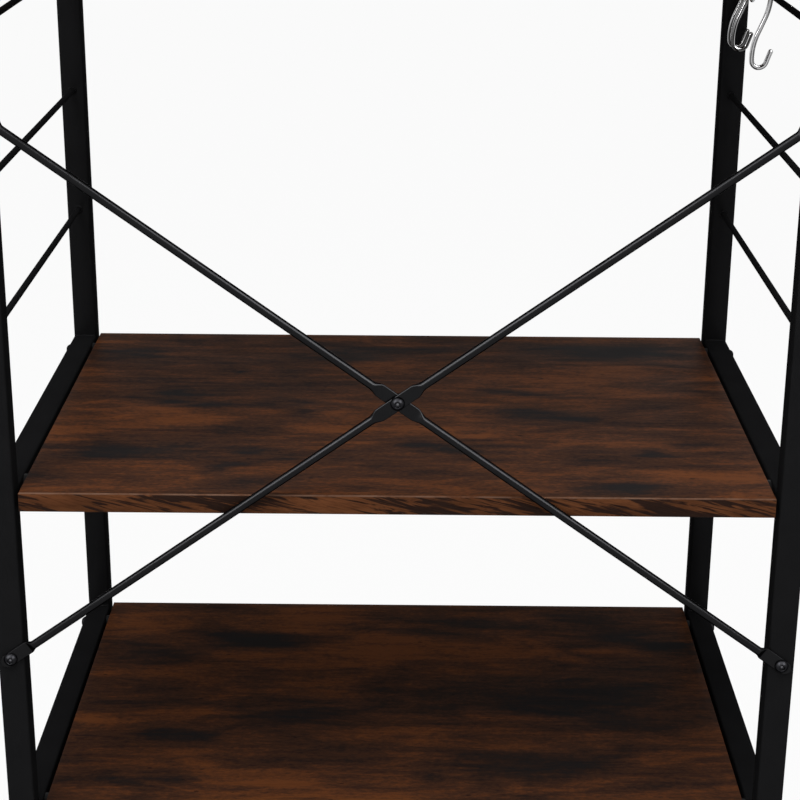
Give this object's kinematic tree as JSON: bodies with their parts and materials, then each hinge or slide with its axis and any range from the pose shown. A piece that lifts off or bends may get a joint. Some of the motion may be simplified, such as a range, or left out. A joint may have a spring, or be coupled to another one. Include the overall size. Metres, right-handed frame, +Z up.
{
  "type": "bakers rack",
  "caption": "Free-standing kitchen bakers rack: square tube side frames, bolted wood-grain boards, side guard rods, crossed rods on the back, hanging wire hooks and levelling feet.",
  "frame": {"origin": "on the floor, under the middle of the rack's bounding box", "axes": "+Z up; -Y is the front, +Y the back with the crossed brace rods; +X is to the right seen from the front"},
  "size_m": [0.607, 0.4086, 1.385],
  "materials": {
    "powder_coat": "satin black powder coat, fine texture",
    "wood_board": "dark rustic brown wood-grain melamine, low sheen",
    "black_bolt": "black coated steel, satin",
    "black_plastic": "moulded, matt",
    "chrome_wire": "polished chrome plate"
  },
  "bodies": {
    "frame": {"post_front_left": "powder_coat", "post_front_right": "powder_coat", "post_rear_left": "powder_coat", "post_rear_right": "powder_coat", "rail_left_1": "powder_coat", "rail_left_2": "powder_coat", "rail_left_3": "powder_coat", "rail_left_4": "powder_coat", "rail_left_5": "powder_coat", "rail_right_1": "powder_coat", "rail_right_2": "powder_coat", "rail_right_3": "powder_coat", "rail_right_4": "powder_coat", "rail_right_5": "powder_coat", "guard_rod_left_1": "powder_coat", "guard_rod_left_2": "powder_coat", "guard_rod_left_3": "powder_coat", "guard_rod_right_1": "powder_coat", "guard_rod_right_2": "powder_coat", "guard_rod_right_3": "powder_coat", "shelf_board_1": "wood_board", "shelf_board_2": "wood_board", "shelf_board_3": "wood_board", "shelf_board_4": "wood_board", "shelf_board_5": "wood_board", "shelf_bolt_1_front_left": "black_bolt", "shelf_bolt_1_front_right": "black_bolt", "shelf_bolt_1_rear_left": "black_bolt", "shelf_bolt_1_rear_right": "black_bolt", "shelf_bolt_2_front_left": "black_bolt", "shelf_bolt_2_front_right": "black_bolt", "shelf_bolt_2_rear_left": "black_bolt", "shelf_bolt_2_rear_right": "black_bolt", "shelf_bolt_3_front_left": "black_bolt", "shelf_bolt_3_front_right": "black_bolt", "shelf_bolt_3_rear_left": "black_bolt", "shelf_bolt_3_rear_right": "black_bolt", "shelf_bolt_4_front_left": "black_bolt", "shelf_bolt_4_front_right": "black_bolt", "shelf_bolt_4_rear_left": "black_bolt", "shelf_bolt_4_rear_right": "black_bolt", "shelf_bolt_5_front_left": "black_bolt", "shelf_bolt_5_front_right": "black_bolt", "shelf_bolt_5_rear_left": "black_bolt", "shelf_bolt_5_rear_right": "black_bolt", "brace_rod_inner": "powder_coat", "brace_rod_outer": "powder_coat", "brace_centre_bolt": "black_bolt", "brace_centre_nut": "black_bolt", "brace_end_bolt_lower_left": "black_bolt", "brace_end_bolt_upper_left": "black_bolt", "brace_end_bolt_lower_right": "black_bolt", "brace_end_bolt_upper_right": "black_bolt"},
    "foot_front_left": {"levelling_foot_front_left": "black_plastic"},
    "foot_front_right": {"levelling_foot_front_right": "black_plastic"},
    "foot_rear_left": {"levelling_foot_rear_left": "black_plastic"},
    "foot_rear_right": {"levelling_foot_rear_right": "black_plastic"},
    "hanging_hook_1": {"hook_1": "chrome_wire"},
    "hanging_hook_2": {"hook_2": "chrome_wire"},
    "hanging_hook_3": {"hook_3": "chrome_wire"}
  },
  "joints": [
    {"name": "foot_front_left_screw", "type": "slide", "parent": "frame", "child": "foot_front_left", "axis": [0, 0, -1], "range_m": [0, 0.01]},
    {"name": "foot_front_right_screw", "type": "slide", "parent": "frame", "child": "foot_front_right", "axis": [0, 0, -1], "range_m": [0, 0.01]},
    {"name": "foot_rear_left_screw", "type": "slide", "parent": "frame", "child": "foot_rear_left", "axis": [0, 0, -1], "range_m": [0, 0.01]},
    {"name": "foot_rear_right_screw", "type": "slide", "parent": "frame", "child": "foot_rear_right", "axis": [0, 0, -1], "range_m": [0, 0.01]},
    {"name": "hook_1_swing", "type": "hinge", "parent": "frame", "child": "hanging_hook_1", "pos_m": [-0.29, -0.17735, 1.258], "axis": [0, 1, 0], "range_deg": [-60, 60]},
    {"name": "hook_2_swing", "type": "hinge", "parent": "frame", "child": "hanging_hook_2", "pos_m": [-0.29, -0.15935, 1.258], "axis": [0, 1, 0], "range_deg": [-60, 60]},
    {"name": "hook_3_swing", "type": "hinge", "parent": "frame", "child": "hanging_hook_3", "pos_m": [-0.29, -0.06635, 1.258], "axis": [0, 1, 0], "range_deg": [-60, 60]}
  ]
}
